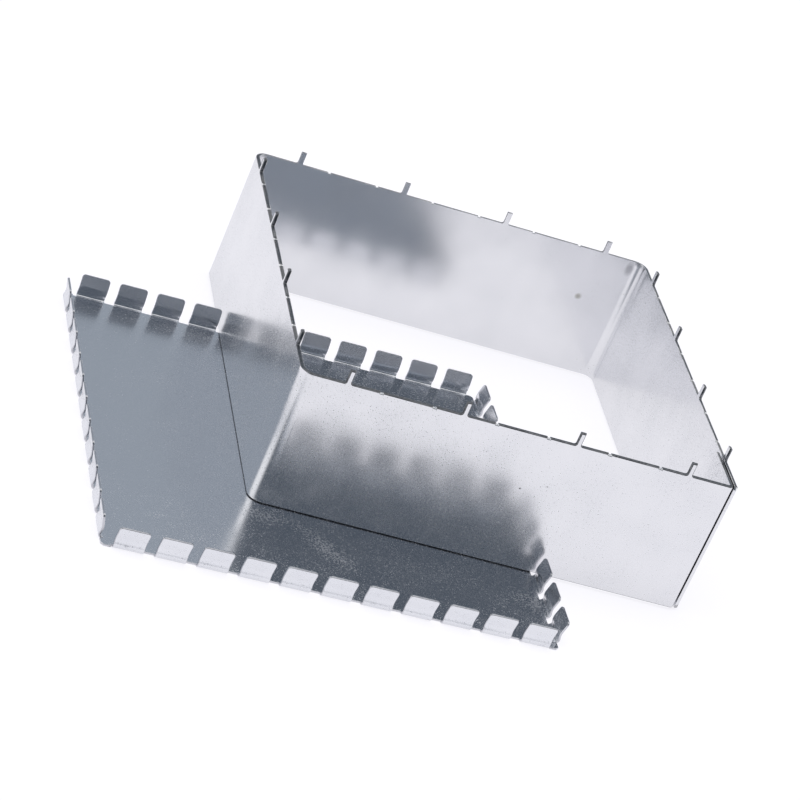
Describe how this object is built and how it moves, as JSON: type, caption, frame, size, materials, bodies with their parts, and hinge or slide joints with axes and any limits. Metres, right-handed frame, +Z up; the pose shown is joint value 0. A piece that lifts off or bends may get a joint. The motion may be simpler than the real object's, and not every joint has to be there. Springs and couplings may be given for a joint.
{
  "type": "emi shield can",
  "caption": "Square board-level shield can: an open strip fence with solder pins, standing in its upturned push-on cover edged with spring fingers.",
  "frame": {"origin": "centre of the cover's outer face, which lies on the table", "axes": "+X to the right along the cover's front edge, +Y to the back, +Z up, out of the open cover"},
  "size_m": [0.0676, 0.0636, 0.0176],
  "materials": {
    "fence_tin_plate": "bright tin plate on cold-rolled steel, faint grain, sheared edges darker",
    "cover_tin_plate": "satin tin plate on cold-rolled steel, lightly scuffed"
  },
  "bodies": {
    "root": {"fence": "fence_tin_plate", "cover": "cover_tin_plate"}
  },
  "joints": []
}
